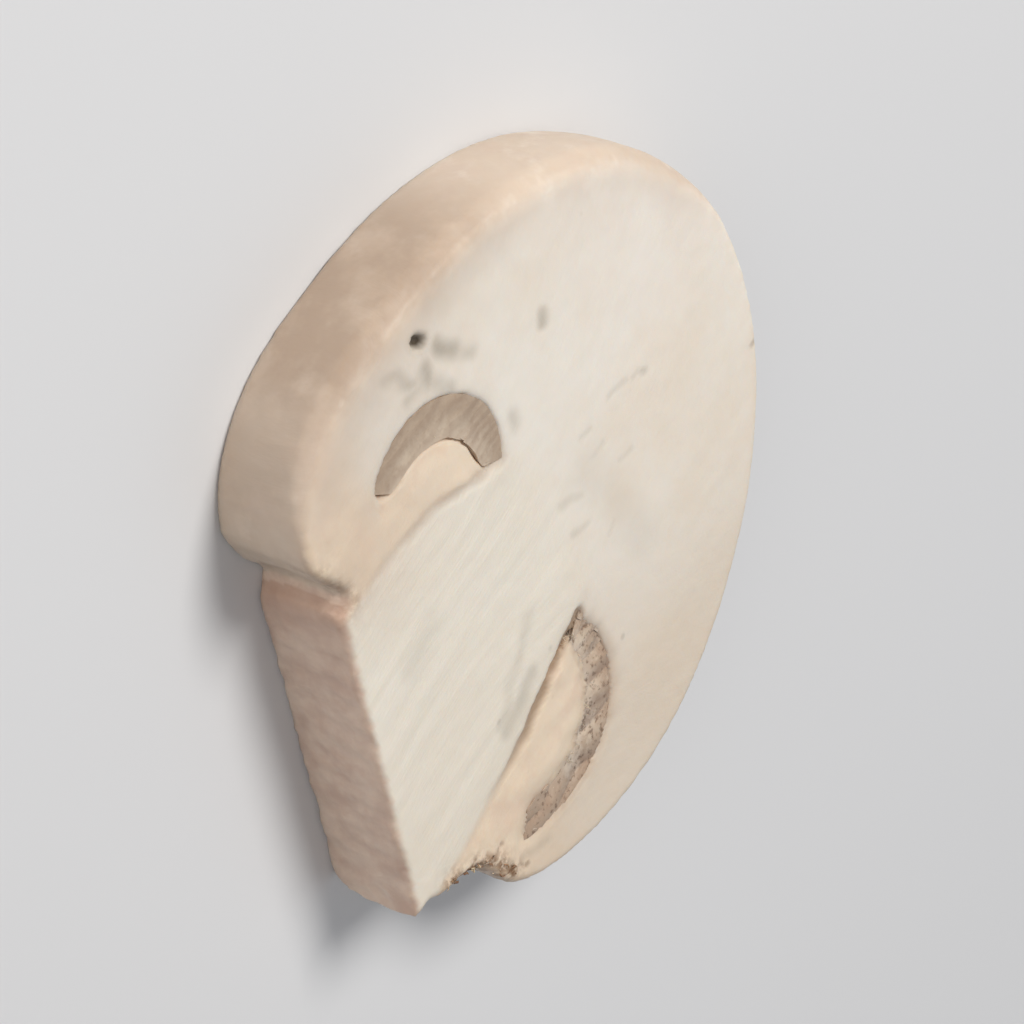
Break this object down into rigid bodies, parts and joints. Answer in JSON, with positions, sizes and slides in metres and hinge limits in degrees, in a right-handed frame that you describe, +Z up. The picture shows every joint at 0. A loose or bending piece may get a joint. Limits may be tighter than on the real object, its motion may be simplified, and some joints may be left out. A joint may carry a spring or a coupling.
{
  "type": "button mushroom slice",
  "caption": "Lengthwise slice of a white button mushroom: domed cap, brown gills in crescent pockets, closed veil and short stem with an oblique trimmed end.",
  "frame": {"origin": "middle of the footprint, on the surface that the slice lies on", "axes": "+X across the cap, +Y from the stem's trimmed end towards the top of the cap, +Z up out of the cut face that is seen"},
  "size_m": [0.0394, 0.037, 0.0055],
  "materials": {
    "mushroom_flesh": "satin",
    "mushroom_gills": "matte"
  },
  "bodies": {
    "root": {"cap_and_stem": "mushroom_flesh", "gills_left": "mushroom_gills", "gills_right": "mushroom_gills"}
  },
  "joints": []
}
